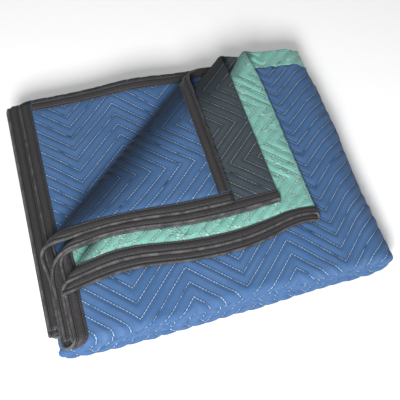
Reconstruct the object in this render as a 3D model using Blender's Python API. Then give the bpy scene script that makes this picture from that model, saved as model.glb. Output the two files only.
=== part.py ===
"""A quilted moving blanket, folded into a flat stack with one corner turned back.

The cloth is described flat, by the distance "across" from one side edge and the
distance "along" from one end. Along its length it folds back and forth into a
bunch of five plies. Across its width the bunch folds into four bunches, one on
the other, and the far left corner of the top bunch is turned over. The panels
start as flat faces, are cut along every fold and stitch line, and are then laid
in place by one function, so all plies nest with the same pitch.
"""
import math
from collections import namedtuple

import bmesh
import bpy
import numpy as np

MM = 0.001

# Driving dimensions of the cloth
PITCH = 3.3 * MM
PAD_THICKNESS = 2.0 * MM
BOUND_PAD_THICKNESS = 1.0 * MM
BINDING_THICKNESS = 0.5 * MM
BINDING_WIDTH = 17.0 * MM
SEWING_GAP = 0.35 * MM
SEAM_GAP = 0.8 * MM

# The folded stack, seen from above, with +X to the right and +Y to the far side
RIGHT_FOLD_X = 196.6 * MM
INNER_FOLD_X = 194.6 * MM
LEFT_FOLD_X = -205.0 * MM
NEAR_FOLD_Y = -203.0 * MM
FAR_FOLD_Y = 203.0 * MM
FREE_END_Y = 196.0 * MM
BLUE_SEAM_Y = 167.0 * MM
GREEN_SEAM_Y = 0.0

# How much the stack narrows toward the right, for each metre, and how much it leans
TAPER = 0.15
LEAN = 0.03

# Zigzag quilting: rows of stitches, at 45 degrees between their turns
ROW_PITCH = 20.5 * MM
ZIGZAG_PERIOD = 140.0 * MM
PUFF = 0.9 * MM

# One row for each ply of a bunch. Ply one is the top ply of the top bunch.
# left_top and left_second: left edges in the top and the second bunch.
# turned_x, turned_y: how far the turned corner shifts along each direction.
# reach: how far the turned bend bulges. Its facets are counted in BEND_STEPS.
Ply = namedtuple("Ply", "left_top left_second turned_x turned_y reach")
PLIES = (
    Ply(-196.4 * MM, -227.0 * MM, 62.0 * MM, 46.0 * MM, 3.0 * MM),
    Ply(-200.0 * MM, -229.0 * MM, 62.0 * MM, 61.0 * MM, 8.0 * MM),
    Ply(-194.0 * MM, -229.0 * MM, 103.0 * MM, 98.0 * MM, 14.0 * MM),
    Ply(-208.0 * MM, -226.0 * MM, 103.0 * MM, 113.0 * MM, 19.0 * MM),
    Ply(-211.5 * MM, -207.0 * MM, 161.0 * MM, 135.0 * MM, 24.0 * MM),
)
BEND_STEPS = 6
TURNED_FIRST_GAP = 4.0 * MM
TURNED_PITCH = 3.5 * MM

PLY_COUNT = len(PLIES)
TOP_LAYER = 4 * PLY_COUNT - 0.5
BUNCH = PLY_COUNT * PITCH
HALF_PITCH = 0.5 * PITCH


def ply_value(column, ply, direct=False):
    """Read a column of PLIES at a ply number that may lie between two rows.

    Direct goes straight from the last row to the first, as the cloth does around
    the near fold.
    """
    values = [getattr(row, column) for row in PLIES]
    if direct:
        return float(np.interp(ply, (0, PLY_COUNT - 1), (values[0], values[-1])))
    return float(np.interp(ply, range(PLY_COUNT), values))


# The path along the cloth, from the free blue end to the hidden dark end
Leg = namedtuple("Leg", "name length start_y end_y start_ply end_ply steps")
NEAR_INNER_Y = NEAR_FOLD_Y - 0.33 * PITCH
HIDDEN_END_Y = NEAR_FOLD_Y + PITCH
NEAR_ARC = math.pi * 2 * PITCH
SMALL_ARC = math.pi * HALF_PITCH
ALONG = (
    Leg("ply five", FREE_END_Y - NEAR_FOLD_Y, FREE_END_Y, NEAR_FOLD_Y, 4, 4, 1),
    Leg("near fold", NEAR_ARC, NEAR_FOLD_Y, NEAR_FOLD_Y, 4, 0, 5),
    Leg("ply one", FAR_FOLD_Y - NEAR_FOLD_Y, NEAR_FOLD_Y, FAR_FOLD_Y, 0, 0, 1),
    Leg("far fold", SMALL_ARC, FAR_FOLD_Y, FAR_FOLD_Y, 0, 1, 3),
    Leg("ply two", FAR_FOLD_Y - NEAR_INNER_Y, FAR_FOLD_Y, NEAR_INNER_Y, 1, 1, 1),
    Leg("near inner fold", SMALL_ARC, NEAR_INNER_Y, NEAR_INNER_Y, 1, 2, 3),
    Leg("ply three", FAR_FOLD_Y - NEAR_INNER_Y, NEAR_INNER_Y, FAR_FOLD_Y, 2, 2, 1),
    Leg("far inner fold", SMALL_ARC, FAR_FOLD_Y, FAR_FOLD_Y, 2, 3, 3),
    Leg("ply four", FAR_FOLD_Y - HIDDEN_END_Y, FAR_FOLD_Y, HIDDEN_END_Y, 3, 3, 1),
)

# The path across the cloth, through the four bunches from top to bottom and back
Span = namedtuple("Span", "name length steps")
FLAT_SPAN = RIGHT_FOLD_X - LEFT_FOLD_X
ACROSS = (
    Span("top", 400.0 * MM, 1),
    Span("right wrap", math.pi * 7.5 * PITCH, 7),
    Span("bottom", FLAT_SPAN, 1),
    Span("left wrap", math.pi * 2.5 * PITCH, 5),
    Span("third", FLAT_SPAN, 1),
    Span("inner wrap", math.pi * 2.5 * PITCH, 5),
    Span("second", 421.6 * MM, 1),
)


def running_starts(path):
    """Give the distance at which each piece of a path starts, and the whole length."""
    starts = [0.0]
    for piece in path:
        starts.append(starts[-1] + piece.length)
    return starts


ALONG_STARTS = running_starts(ALONG)
ACROSS_STARTS = running_starts(ACROSS)
CLOTH_LENGTH = ALONG_STARTS[-1]
CLOTH_WIDTH = ACROSS_STARTS[-1]
TOP_SPAN = ACROSS[0].length


def find_piece(path, starts, distance):
    """Find the piece of a path that holds a distance, and the share passed of it."""
    last = len(path) - 1
    index = min(int(np.searchsorted(starts, distance, side="right")) - 1, last)
    index = max(index, 0)
    share = (distance - starts[index]) / path[index].length
    return path[index], share


def along_place(along):
    """Turn a distance along the cloth into a place toward +Y and a ply number."""
    leg, share = find_piece(ALONG, ALONG_STARTS, along)
    if leg.start_ply == leg.end_ply:
        return leg.start_y + share * (leg.end_y - leg.start_y), float(leg.start_ply)
    angle = math.pi * min(max(share, 0.0), 1.0)
    radius = 0.5 * abs(leg.end_ply - leg.start_ply) * PITCH
    outward = 1.0 if leg.start_y > 0.0 else -1.0
    ply = leg.start_ply + (leg.end_ply - leg.start_ply) * 0.5 * (1.0 - math.cos(angle))
    return leg.start_y + outward * radius * math.sin(angle), ply


def bend_values(ply):
    """Give the start line, reach, rise and length of the turned corner's bend."""
    flat_z = (TOP_LAYER - ply) * PITCH
    turned_z = TOP_LAYER * PITCH + TURNED_FIRST_GAP + ply * TURNED_PITCH
    rise = 0.5 * (turned_z - flat_z)
    reach = ply_value("reach", ply)
    length = math.pi * math.sqrt(0.5 * (reach * reach + rise * rise))
    shift_x = ply_value("turned_x", ply)
    shift_y = ply_value("turned_y", ply)
    line = 0.5 * (shift_x + shift_y) - length / math.sqrt(2.0)
    slide = 0.5 * (shift_y - shift_x)
    return line, reach, rise, length, slide


def turn_corner(x, y, ply):
    """Lay a point of the top bunch flat, around the turned bend or on top of it."""
    flat_z = (TOP_LAYER - ply) * PITCH
    line, reach, rise, length, slide = bend_values(ply)
    beyond = (y - x - line) / math.sqrt(2.0)
    if beyond <= 0.0:
        return x, y, flat_z
    share = min(beyond / length, 1.0)
    out = reach * math.sin(math.pi * share) - max(beyond - length, 0.0)
    height = flat_z + rise * (1.0 - math.cos(math.pi * share))
    back = (beyond - out) / math.sqrt(2.0)
    slip = slide * share * share * (3.0 - 2.0 * share)
    return x + back + slip, y - back + slip, height


def settle(x, y, z):
    """Narrow the whole stack toward the right, with its far edge left straight.

    Straight lines stay straight, so pieces with unlike facets still nest.
    """
    spread = 1.0 + TAPER * x
    return x / spread, y / spread + LEAN * x / spread, z / spread


def place(across, along):
    """Lay one point of the flat cloth in the folded stack."""
    y, ply = along_place(along)
    leg, _ = find_piece(ALONG, ALONG_STARTS, along)
    around = leg.name == "near fold"
    span, share = find_piece(ACROSS, ACROSS_STARTS, across)
    centre_z = 2 * BUNCH
    angle = math.pi * share
    if span.name == "top":
        left = ply_value("left_top", ply, around)
        x, y, z = turn_corner(left + share * (RIGHT_FOLD_X - left), y, ply)
    elif span.name == "right wrap":
        radius = (TOP_LAYER - ply) * PITCH - centre_z
        x = RIGHT_FOLD_X + radius * math.sin(angle)
        z = centre_z + radius * math.cos(angle)
    elif span.name == "bottom":
        x = RIGHT_FOLD_X - share * FLAT_SPAN
        z = (0.5 + ply) * PITCH
    elif span.name == "left wrap":
        radius = BUNCH - (0.5 + ply) * PITCH
        x = LEFT_FOLD_X - radius * math.sin(angle)
        z = BUNCH - radius * math.cos(angle)
    elif span.name == "third":
        x = LEFT_FOLD_X + share * (INNER_FOLD_X - LEFT_FOLD_X)
        z = centre_z - (0.5 + ply) * PITCH
    elif span.name == "inner wrap":
        radius = (0.5 + ply) * PITCH
        x = INNER_FOLD_X + radius * math.sin(angle)
        z = centre_z - radius * math.cos(angle)
    else:
        left = ply_value("left_second", ply, around)
        x = INNER_FOLD_X + share * (left - INNER_FOLD_X)
        z = centre_z + (0.5 + ply) * PITCH
    return np.array(settle(x, y, z))


def outward(across, along):
    """Give the direction away from the shown face of the cloth."""
    step = 0.15 * MM
    by_across = place(across + step, along) - place(across - step, along)
    by_along = place(across, along + step) - place(across, along - step)
    normal = np.cross(by_across, by_along)
    return normal / np.linalg.norm(normal)


def zigzag(across, phase):
    """Give the zigzag's swing along the cloth, with its points toward the free end."""
    turn = ((across - phase) / ZIGZAG_PERIOD) % 1.0
    return ZIGZAG_PERIOD * abs(turn - 0.5)


BLUE_PHASE = 80.0 * MM
DARK_PHASE = 150.0 * MM


def quilt_puff(across, along, phase):
    """Give how far the wadding stands up between two rows of stitches, 0 to 1."""
    row = (along + zigzag(across, phase)) / ROW_PITCH
    return 0.5 * (1.0 - math.cos(2.0 * math.pi * row))


def leg_range(name):
    """Give where a leg of the path along the cloth starts and ends."""
    index = [leg.name for leg in ALONG].index(name)
    return ALONG_STARTS[index], ALONG_STARTS[index + 1]


def span_range(name):
    """Give where a span of the path across the cloth starts and ends."""
    index = [span.name for span in ACROSS].index(name)
    return ACROSS_STARTS[index], ACROSS_STARTS[index + 1]


# Where a ply of the top bunch comes out from under the turned plies that lie on it:
# to the right of one place, and nearer than the other
Uncovered = namedtuple("Uncovered", "right_of nearer_than")
UNCOVERED = {
    "ply one": Uncovered(128.0 * MM, -142.0 * MM),
    "ply two": Uncovered(88.0 * MM, -88.0 * MM),
    "ply four": Uncovered(38.0 * MM, -80.0 * MM),
}
SECOND_BUNCH_BEYOND = 110.0 * MM


def shows(across, along):
    """Say whether quilting shows there, seen from outside the folded stack."""
    span, _ = find_piece(ACROSS, ACROSS_STARTS, across)
    leg, _ = find_piece(ALONG, ALONG_STARTS, along)
    x, y, z = place(across, along)
    if span.name == "right wrap":
        return leg.name == "ply one"
    if span.name == "second":
        return leg.name == "ply five" and y > x + SECOND_BUNCH_BEYOND
    if span.name != "top":
        return False
    if leg.name == "near fold":
        return True
    above = z > (TOP_LAYER + 0.5) * PITCH
    if leg.name == "ply five":
        return above
    if leg.name not in UNCOVERED:
        return False
    limits = UNCOVERED[leg.name]
    clear = x > limits.right_of or y < limits.nearer_than
    return clear and above != (leg.name == "ply one")


# One row for each leg and span whose shown face gets rows of quilting
QUILTED = (
    ("ply one", "top"),
    ("near fold", "top"),
    ("ply five", "top"),
    ("ply four", "top"),
    ("ply two", "top"),
    ("ply one", "right wrap"),
    ("ply five", "second"),
)

Cut = namedtuple("Cut", "point direction across_range along_range")
EVERYWHERE = (-1.0, 10.0)

# How near points of a flat mesh may come before they are taken as one
CUT_TOLERANCE = 0.02 * MM
PAD_MERGE = 0.3 * MM
TAPE_MERGE = 0.2 * MM
EDGE_TOLERANCE = 0.4 * MM


def fold_cuts():
    """List the cuts along every fold, with one for each step around it."""
    cuts = []
    for span, start in zip(ACROSS, ACROSS_STARTS):
        for step in range(span.steps):
            across = start + span.length * step / span.steps
            cuts.append(Cut((across, 0.0), (0.0, 1.0), EVERYWHERE, EVERYWHERE))
    for leg, start in zip(ALONG, ALONG_STARTS):
        for step in range(leg.steps):
            along = start + leg.length * step / leg.steps
            cuts.append(Cut((0.0, along), (1.0, 0.0), EVERYWHERE, EVERYWHERE))
    return cuts


def bend_cuts():
    """List the slanting cuts around the bend of the turned corner."""
    cuts = []
    for leg, start in zip(ALONG, ALONG_STARTS):
        if leg.name in ("near fold", "near inner fold"):
            continue
        for step in range(leg.steps):
            low = start + leg.length * step / leg.steps
            high = start + leg.length * (step + 1) / leg.steps
            low_y, low_ply = along_place(low + 1e-9)
            high_y, high_ply = along_place(high - 1e-9)
            ply = 0.5 * (low_ply + high_ply)
            line, _, _, length, _ = bend_values(ply)
            left = ply_value("left_top", ply)
            across_scale = TOP_SPAN / (RIGHT_FOLD_X - left)
            for facet in range(BEND_STEPS + 1):
                reach_line = line + math.sqrt(2.0) * length * facet / BEND_STEPS
                low_across = (low_y - reach_line - left) * across_scale
                high_across = (high_y - reach_line - left) * across_scale
                direction = (high_across - low_across, high - low)
                cuts.append(Cut((low_across, low), direction, (0.0, TOP_SPAN), (low, high)))
    return cuts


def quilt_cuts():
    """List the cuts on the stitch rows and on the crests between them."""
    cuts = []
    half = 0.5 * ZIGZAG_PERIOD
    for leg_name, span_name in QUILTED:
        low, high = leg_range(leg_name)
        left, right = span_range(span_name)
        low, high = max(low, THIN_INSETS[1]), min(high, CLOTH_LENGTH - THIN_INSETS[1])
        left, right = max(left, THIN_INSETS[1]), min(right, CLOTH_WIDTH - THIN_INSETS[1])
        phase = DARK_PHASE if leg_name == "ply four" else BLUE_PHASE
        first = math.floor((left - phase) / half)
        last = math.ceil((right - phase) / half)
        for column in range(first + 1, last):
            turn = phase + column * half
            cuts.append(Cut((turn, 0.0), (0.0, 1.0), (left, right), (low, high)))
        for column in range(first, last):
            column_left = max(phase + column * half, left)
            column_right = min(phase + (column + 1) * half, right)
            if column_right - column_left < 1.0 * MM:
                continue
            column_range = (column_left, column_right)
            swing_left = zigzag(column_left + 1e-7, phase)
            swing_right = zigzag(column_right - 1e-7, phase)
            width = column_right - column_left
            lowest = low + min(swing_left, swing_right)
            highest = high + max(swing_left, swing_right)
            row = math.ceil(lowest / (0.5 * ROW_PITCH))
            while row * 0.5 * ROW_PITCH < highest:
                level = row * 0.5 * ROW_PITCH
                point = (column_left, level - swing_left)
                direction = (width, swing_left - swing_right)
                cuts.append(Cut(point, direction, column_range, (low, high)))
                row += 1
    return cuts


def in_range(value, limits):
    """Say whether a value lies inside a pair of limits."""
    return limits[0] < value < limits[1]


def cut_faces(mesh, cut, chosen):
    """Cut the chosen faces of a flat mesh along one line."""
    faces = [face for face in mesh.faces if chosen(face.calc_center_median())]
    if not faces:
        return
    geometry = set(faces)
    for face in faces:
        geometry.update(face.edges)
        geometry.update(face.verts)
    normal = (cut.direction[1], -cut.direction[0], 0.0)
    bmesh.ops.bisect_plane(
        mesh,
        geom=list(geometry),
        dist=CUT_TOLERANCE,
        plane_co=(cut.point[0], cut.point[1], 0.0),
        plane_no=normal,
    )


def flat_face(low_u, high_u, low_v, high_v):
    """Make a mesh of one flat face."""
    mesh = bmesh.new()
    bmesh.ops.create_grid(mesh, x_segments=1, y_segments=1, size=0.5)
    for vertex in mesh.verts:
        vertex.co.x = low_u + (vertex.co.x + 0.5) * (high_u - low_u)
        vertex.co.y = low_v + (vertex.co.y + 0.5) * (high_v - low_v)
    return mesh


def cut_pad(low, high, cuts):
    """Cut one panel of the quilted pad along its folds, bends and stitch rows."""
    mesh = flat_face(0.0, CLOTH_WIDTH, low, high)
    for cut in cuts:
        if cut.along_range[1] <= low or cut.along_range[0] >= high:
            continue

        def chosen(centre, cut=cut):
            return in_range(centre.x, cut.across_range) and in_range(centre.y, cut.along_range)

        cut_faces(mesh, cut, chosen)
    return mesh


# Distances in from the cloth's edges between which the pad grows to its whole thickness
THIN_INSETS = (BINDING_WIDTH + 0.9 * MM, BINDING_WIDTH + 5.0 * MM)


def edge_inset(across, along):
    """Give the distance from a point of the cloth to its nearest edge."""
    return min(across, CLOTH_WIDTH - across, along, CLOTH_LENGTH - along)


def pad_is_bound(across, along):
    """Say whether a point of the pad lies under a binding."""
    return edge_inset(across, along) < THIN_INSETS[0] + 0.5 * MM


def is_crumpled(across, along):
    """Say whether the pad is squeezed there by the turned corner's bend.

    It is where a sharp fold runs through the bend, and all along the tightest bend.
    """
    near = 0.5 * MM
    span, share = find_piece(ACROSS, ACROSS_STARTS, across)
    if span.name != "top":
        return False
    y, ply = along_place(along)
    left = ply_value("left_top", ply)
    line, _, _, length, _ = bend_values(ply)
    beyond = (y - left - share * (RIGHT_FOLD_X - left) - line) / math.sqrt(2.0)
    for leg, start in zip(ALONG, ALONG_STARTS):
        if not start - near < along < start + leg.length + near:
            continue
        if leg.length < 2.0 * SMALL_ARC and -length < beyond < 2.0 * length:
            return True
        if leg.name == "ply one" and -near < beyond < length + near:
            return True
    return False


def edge_cuts():
    """List the cuts where the pad thins down to go under the bindings."""
    cuts = []
    for inset in THIN_INSETS:
        for across in (inset, CLOTH_WIDTH - inset):
            cuts.append(Cut((across, 0.0), (0.0, 1.0), EVERYWHERE, EVERYWHERE))
        for along in (inset, CLOTH_LENGTH - inset):
            cuts.append(Cut((0.0, along), (1.0, 0.0), EVERYWHERE, EVERYWHERE))
    return cuts


def new_material(name, colour, roughness):
    """Make a plain cloth material."""
    material = bpy.data.materials.new(name)
    material.use_nodes = True
    shader = material.node_tree.nodes["Principled BSDF"]
    shader.inputs["Base Color"].default_value = (*colour, 1.0)
    shader.inputs["Roughness"].default_value = roughness
    shader.inputs["Metallic"].default_value = 0.0
    return material


def finish_object(name, mesh, material, collection):
    """Turn a laid sheet into a named object."""
    data = bpy.data.meshes.new(name)
    mesh.to_mesh(data)
    mesh.free()
    data.materials.append(material)
    item = bpy.data.objects.new(name, data)
    collection.objects.link(item)
    return item


def lay_point(mesh, vertex, point, direction, half):
    """Put a vertex in place, and keep the way and the half thickness it grows by."""
    vertex.co = point
    vertex[mesh.verts.layers.float_vector["grows"]] = direction * half


def thicken(mesh):
    """Give a laid sheet its thickness, half to each side, and close its edges."""
    grows = mesh.verts.layers.float_vector["grows"]
    middle = set(mesh.verts)
    faces = list(mesh.faces)
    bmesh.ops.extrude_face_region(mesh, geom=faces, use_keep_orig=True)
    for vertex in mesh.verts:
        side = 1.0 if vertex in middle else -1.0
        vertex.co = vertex.co + vertex[grows] * side
    bmesh.ops.recalc_face_normals(mesh, faces=mesh.faces)


def dissolve_flats(mesh):
    """Join faces that lie in one plane, but for those that meet at a marked edge."""
    mesh.normal_update()
    bmesh.ops.dissolve_limit(
        mesh,
        angle_limit=math.radians(0.5),
        verts=mesh.verts,
        edges=mesh.edges,
        delimit={"SEAM"},
    )


def mark_thin_edges(mesh):
    """Mark the two lines beside each binding, between which the pad grows thinner."""
    for edge in mesh.edges:
        insets = [edge_inset(vertex.co.x, vertex.co.y) for vertex in edge.verts]
        for inset in THIN_INSETS:
            if all(abs(value - inset) < EDGE_TOLERANCE for value in insets):
                edge.seam = True


def make_pad(name, low, high, cuts, material, collection):
    """Make one quilted panel between two places along the cloth."""
    mesh = cut_pad(low, high, cuts)
    bmesh.ops.remove_doubles(mesh, verts=mesh.verts, dist=PAD_MERGE)
    mark_thin_edges(mesh)
    phase = DARK_PHASE if name == "pad_dark" else BLUE_PHASE
    mesh.verts.layers.float_vector.new("grows")
    for vertex in mesh.verts:
        across, along = vertex.co.x, vertex.co.y
        point = place(across, along)
        direction = outward(across, along)
        thickness = PAD_THICKNESS
        if pad_is_bound(across, along) or is_crumpled(across, along):
            thickness = BOUND_PAD_THICKNESS
        elif shows(across, along):
            point = point + direction * PUFF * quilt_puff(across, along, phase)
        lay_point(mesh, vertex, point, direction, 0.5 * thickness)
    dissolve_flats(mesh)
    thicken(mesh)
    return finish_object(name, mesh, material, collection)


# The binding's section: distance in from the cloth's edge, and height over its middle
SIDE_HEIGHT = 0.5 * BOUND_PAD_THICKNESS + SEWING_GAP + 0.5 * BINDING_THICKNESS
LIP = 1.0 * MM
TIP_OUT = 0.95 * MM
LIP_OUT = 0.4 * MM
MOST_REACH = 2.5
CORNER_GAP = 1.2 * MM


def binding_section(lateral):
    """Give a point of the binding by its place on the tape, and the way it grows.

    The point is its inset from the cloth's edge and its height over the middle. The
    way is how much it grows away from the edge and how much along the height.
    """
    size = abs(lateral)
    sign = 1.0 if lateral > 0.0 else -1.0
    if size < 0.5 * LIP:
        return -TIP_OUT, 0.0, 1.0, 0.0
    if size < 1.5 * LIP:
        return -LIP_OUT, sign * SIDE_HEIGHT, 1.0, sign
    return size - LIP, sign * SIDE_HEIGHT, 0.0, sign


def edge_direction(across, along, on_side, at_start):
    """Give the direction out of the cloth, square to its edge, at a point near it.

    Also give how many times further the cloth must reach out where its edge slants.
    """
    step = 0.15 * MM
    by_across = place(across + step, along) - place(across - step, along)
    by_along = place(across, along + step) - place(across, along - step)
    pull, edge = (by_across, by_along) if on_side else (by_along, by_across)
    if at_start:
        pull = -pull
    edge = edge / np.linalg.norm(edge)
    pull = pull / (2.0 * step)
    square = pull - edge * np.dot(pull, edge)
    distance = np.linalg.norm(square)
    return square / distance, min(1.0 / distance, MOST_REACH)


def make_binding(name, on_side, at_start, cuts, material, collection):
    """Make the tape that is folded over one side edge or one end of the cloth."""
    tape = BINDING_WIDTH + LIP
    corner = BINDING_WIDTH + CORNER_GAP
    limit = CLOTH_WIDTH if on_side else CLOTH_LENGTH
    run = CLOTH_LENGTH if on_side else CLOTH_WIDTH
    low = 0.0 if on_side else corner
    high = run if on_side else run - corner
    if on_side:
        mesh = flat_face(-tape, tape, low, high)
    else:
        mesh = flat_face(low, high, -tape, tape)

    def lateral_of(centre):
        return centre.x if on_side else centre.y

    for lateral in (-LIP, 0.0, LIP):
        point = (lateral, 0.0) if on_side else (0.0, lateral)
        direction = (0.0, 1.0) if on_side else (1.0, 0.0)
        cut_faces(mesh, Cut(point, direction, EVERYWHERE, EVERYWHERE), lambda centre: True)

    for cut in cuts:
        point_across, point_along = cut.point
        by_across, by_along = cut.direction
        crosses = by_across if on_side else by_along
        if abs(crosses) < 1e-9:
            continue
        edge = 0.0 if at_start else limit
        if on_side:
            steps = (edge - point_across) / by_across
            hit = point_along + steps * by_along
            inside = cut.along_range
            reach = cut.across_range
        else:
            steps = (edge - point_along) / by_along
            hit = point_across + steps * by_across
            inside = cut.across_range
            reach = cut.along_range
        if not reach[0] - 1e-6 <= edge <= reach[1] + 1e-6:
            continue
        slant = (by_along / by_across) if on_side else (by_across / by_along)
        for side in (-1, 0, 1):

            def chosen(centre, side=side, inside=inside):
                lateral = lateral_of(centre)
                other = centre.y if on_side else centre.x
                if not in_range(other, inside):
                    return False
                if side == 0:
                    return abs(lateral) < LIP
                return lateral * side > LIP

            inward = 1.0 if at_start else -1.0
            rise = 0.0 if side == 0 else slant * side * inward
            origin = side * LIP
            if on_side:
                turned = Cut((origin, hit), (1.0, rise), EVERYWHERE, EVERYWHERE)
            else:
                turned = Cut((hit, origin), (rise, 1.0), EVERYWHERE, EVERYWHERE)
            cut_faces(mesh, turned, chosen)
    bmesh.ops.remove_doubles(mesh, verts=mesh.verts, dist=TAPE_MERGE)
    mesh.verts.layers.float_vector.new("grows")
    for vertex in mesh.verts:
        lateral = lateral_of(vertex.co)
        inset, height, away, upward = binding_section(lateral)
        edge_distance = inset if at_start else limit - inset
        if on_side:
            across, along = edge_distance, vertex.co.y
        else:
            across, along = vertex.co.x, edge_distance
        direction = outward(across, along)
        square, reach = edge_direction(across, along, on_side, at_start)
        growth = direction * upward + square * away
        if inset < 0.0:
            more = (1.0 - reach) * inset if at_start else (reach - 1.0) * inset
            across, along = (across - more, along) if on_side else (across, along - more)
        point = place(across, along) + direction * height
        lay_point(mesh, vertex, point, growth, 0.5 * BINDING_THICKNESS)
    dissolve_flats(mesh)
    thicken(mesh)
    return finish_object(name, mesh, material, collection)


def clear_scene():
    """Remove what the scene holds before the blanket is made."""
    for item in list(bpy.data.objects):
        bpy.data.objects.remove(item, do_unlink=True)


def centre_on_origin(items):
    """Stand the folded blanket on the ground with its middle over the origin."""
    depsgraph = bpy.context.evaluated_depsgraph_get()
    corners = []
    for item in items:
        evaluated = item.evaluated_get(depsgraph)
        data = evaluated.to_mesh()
        corners.extend(tuple(vertex.co) for vertex in data.vertices)
        evaluated.to_mesh_clear()
    corners = np.array(corners)
    low = corners.min(axis=0)
    high = corners.max(axis=0)
    shift = (-0.5 * (low[0] + high[0]), -0.5 * (low[1] + high[1]), -low[2])
    for item in items:
        for vertex in item.data.vertices:
            vertex.co.x += shift[0]
            vertex.co.y += shift[1]
            vertex.co.z += shift[2]


def main():
    """Make the blanket's panels and bindings."""
    clear_scene()
    collection = bpy.data.collections.new("moving blanket")
    bpy.context.scene.collection.children.link(collection)
    blue = new_material("blue woven cotton", (0.08, 0.18, 0.36), 0.9)
    green = new_material("green woven cotton", (0.22, 0.52, 0.38), 0.7)
    dark = new_material("dark grey woven cotton", (0.05, 0.05, 0.06), 0.9)
    tape = new_material("dark binding tape", (0.06, 0.055, 0.06), 0.8)

    fold_lines = fold_cuts()
    bend_lines = bend_cuts()
    pad_lines = fold_lines + edge_cuts() + bend_lines + quilt_cuts()
    tape_lines = fold_lines + bend_lines
    ply_one_start = leg_range("ply one")[0]
    ply_three_start = leg_range("ply three")[0]
    blue_seam = ply_one_start + BLUE_SEAM_Y - NEAR_FOLD_Y
    green_seam = ply_three_start + GREEN_SEAM_Y - NEAR_INNER_Y
    half_seam = 0.5 * SEAM_GAP
    items = [
        make_pad("pad_blue", 0.0, blue_seam - half_seam, pad_lines, blue, collection),
        make_pad(
            "pad_green", blue_seam + half_seam, green_seam - half_seam, pad_lines, green, collection
        ),
        make_pad("pad_dark", green_seam + half_seam, CLOTH_LENGTH, pad_lines, dark, collection),
        make_binding("binding_top_side", True, True, tape_lines, tape, collection),
        make_binding("binding_second_side", True, False, tape_lines, tape, collection),
        make_binding("binding_free_end", False, True, tape_lines, tape, collection),
        make_binding("binding_hidden_end", False, False, tape_lines, tape, collection),
    ]
    bpy.context.view_layer.update()
    centre_on_origin(items)


main()
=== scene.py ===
"""Dress the folded moving blanket: quilted panels, bound edges, stage and camera.

The cloth is described flat, in metres: "across" from one side edge, "along" from the
free end. One function lays each point in the folded stack, as the CAD's solids do. A
second one then loosens the stack a little, so every piece here lies on or close to the
solid that it stands for.
"""

import math
from collections import namedtuple

import bmesh
import bpy
import numpy as np
from bpy.props import FloatProperty, FloatVectorProperty, PointerProperty
from mathutils import Euler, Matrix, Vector, noise


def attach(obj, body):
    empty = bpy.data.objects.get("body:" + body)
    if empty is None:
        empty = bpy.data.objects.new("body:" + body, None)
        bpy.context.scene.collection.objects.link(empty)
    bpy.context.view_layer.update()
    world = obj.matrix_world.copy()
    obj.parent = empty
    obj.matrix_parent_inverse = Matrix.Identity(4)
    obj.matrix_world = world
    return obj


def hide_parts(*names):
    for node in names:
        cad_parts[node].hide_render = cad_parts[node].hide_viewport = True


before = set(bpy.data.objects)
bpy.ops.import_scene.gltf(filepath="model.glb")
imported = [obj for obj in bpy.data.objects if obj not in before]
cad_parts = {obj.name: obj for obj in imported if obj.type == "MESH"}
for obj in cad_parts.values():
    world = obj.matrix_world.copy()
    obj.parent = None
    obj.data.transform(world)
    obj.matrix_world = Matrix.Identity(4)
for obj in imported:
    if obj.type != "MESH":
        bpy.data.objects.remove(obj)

bl_info = {
    "name": "Folded moving blanket",
    "version": (1, 0, 0),
    "blender": (4, 5, 0),
    "location": "3D View > Sidebar > Blanket",
    "description": "Makes a folded quilted moving blanket in pieced colours",
    "category": "Object",
}

MM = 0.001

# The CAD's own sizes, repeated here, so that the cloth lies on its solids
PITCH = 3.3 * MM
RIGHT_FOLD_X = 196.6 * MM
INNER_FOLD_X = 194.6 * MM
LEFT_FOLD_X = -205.0 * MM
NEAR_FOLD_Y = -203.0 * MM
FAR_FOLD_Y = 203.0 * MM
FREE_END_Y = 196.0 * MM
BLUE_SEAM_Y = 167.0 * MM
GREEN_SEAM_Y = 0.0
TAPER = 0.15
LEAN = 0.03
CENTRING = np.array((8.257 * MM, 9.407 * MM, 0.297 * MM))
ROW_PITCH = 20.5 * MM
ZIGZAG_PERIOD = 140.0 * MM
BLUE_PHASE = 80.0 * MM
DARK_PHASE = 150.0 * MM
BINDING_WIDTH = 17.0 * MM
SIDE_HEIGHT = 1.1 * MM

# For each ply: where the top and second bunch end at the left, how far the turned corner
# slides, and how far its bend reaches. The last three differ a little from the CAD's.
Ply = namedtuple("Ply", "left_top left_second turned_x turned_y reach")
PLIES = (
    Ply(-196.4 * MM, -227.0 * MM, 62.0 * MM, 46.0 * MM, 3.0 * MM),
    Ply(-200.0 * MM, -229.0 * MM, 62.0 * MM, 61.0 * MM, 8.0 * MM),
    Ply(-194.0 * MM, -229.0 * MM, 107.0 * MM, 95.0 * MM, 14.0 * MM),
    Ply(-208.0 * MM, -226.0 * MM, 107.0 * MM, 110.0 * MM, 19.0 * MM),
    Ply(-211.5 * MM, -207.0 * MM, 160.0 * MM, 127.0 * MM, 24.0 * MM),
)
TURNED_FIRST_GAP = 4.0 * MM
TURNED_PITCH = 3.5 * MM
PLY_COUNT = len(PLIES)
TOP_LAYER = 4 * PLY_COUNT - 0.5
BUNCH = PLY_COUNT * PITCH

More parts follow.
